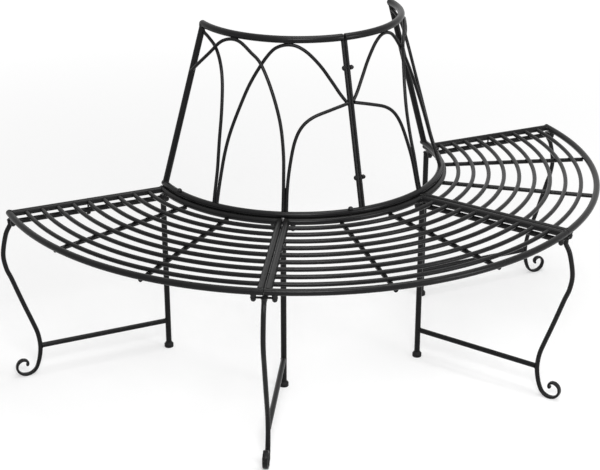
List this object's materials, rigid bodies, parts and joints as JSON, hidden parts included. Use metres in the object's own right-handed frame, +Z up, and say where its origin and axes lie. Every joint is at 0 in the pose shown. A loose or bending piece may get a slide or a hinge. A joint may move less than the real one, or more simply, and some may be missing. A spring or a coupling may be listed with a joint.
{
  "type": "semicircular tree bench",
  "caption": "Half-round metal garden bench that stands against a tree: slatted ring seat on scroll legs, with a cone-shaped back of interlaced arches.",
  "frame": {"origin": "the middle of the half ring, where the tree stands, at ground level", "axes": "+Z up, X along the straight open side, the seat on the -Y side"},
  "size_m": [1.647, 0.8034, 0.892],
  "materials": {
    "frame_paint": "satin black powder coat over steel bar, with a fine orange-peel texture",
    "hardware": "black-coated steel bolts, nuts and bosses, a little smoother than the frame",
    "foot_plastic": "matt black moulded foot caps"
  },
  "bodies": {
    "root": {"left_outer_rail": "frame_paint", "left_inner_rail": "frame_paint", "left_end_bars": "frame_paint", "left_cross_bars": "frame_paint", "left_slats": "frame_paint", "middle_outer_rail": "frame_paint", "middle_inner_rail": "frame_paint", "middle_end_bars": "frame_paint", "middle_cross_bars": "frame_paint", "middle_slats": "frame_paint", "right_outer_rail": "frame_paint", "right_inner_rail": "frame_paint", "right_end_bars": "frame_paint", "right_cross_bars": "frame_paint", "right_slats": "frame_paint", "scroll_leg_1": "frame_paint", "scroll_leg_2": "frame_paint", "scroll_leg_3": "frame_paint", "scroll_leg_4": "frame_paint", "straight_leg_1": "frame_paint", "straight_leg_2": "frame_paint", "straight_leg_3": "frame_paint", "straight_leg_4": "frame_paint", "stretcher_1": "frame_paint", "stretcher_2": "frame_paint", "stretcher_3": "frame_paint", "stretcher_4": "frame_paint", "top_bar_1": "frame_paint", "top_bar_2": "frame_paint", "top_bar_3": "frame_paint", "top_bar_4": "frame_paint", "cross_plates_1": "frame_paint", "cross_plates_2": "frame_paint", "cross_plates_3": "frame_paint", "cross_plates_4": "frame_paint", "foot_caps": "foot_plastic", "bosses": "hardware", "leg_bolts": "hardware", "end_bolts": "hardware", "left_back_end_post": "frame_paint", "left_back_mid_post": "frame_paint", "left_back_top_rail": "frame_paint", "left_back_base_rail": "frame_paint", "left_back_rod_a": "frame_paint", "left_back_rod_b": "frame_paint", "left_back_rod_c": "frame_paint", "left_back_rod_d": "frame_paint", "right_back_end_post": "frame_paint", "right_back_mid_post": "frame_paint", "right_back_top_rail": "frame_paint", "right_back_base_rail": "frame_paint", "right_back_rod_a": "frame_paint", "right_back_rod_b": "frame_paint", "right_back_rod_c": "frame_paint", "right_back_rod_d": "frame_paint", "post_bolts": "hardware", "cap_nuts": "hardware", "rail_bolts": "hardware"}
  },
  "joints": []
}
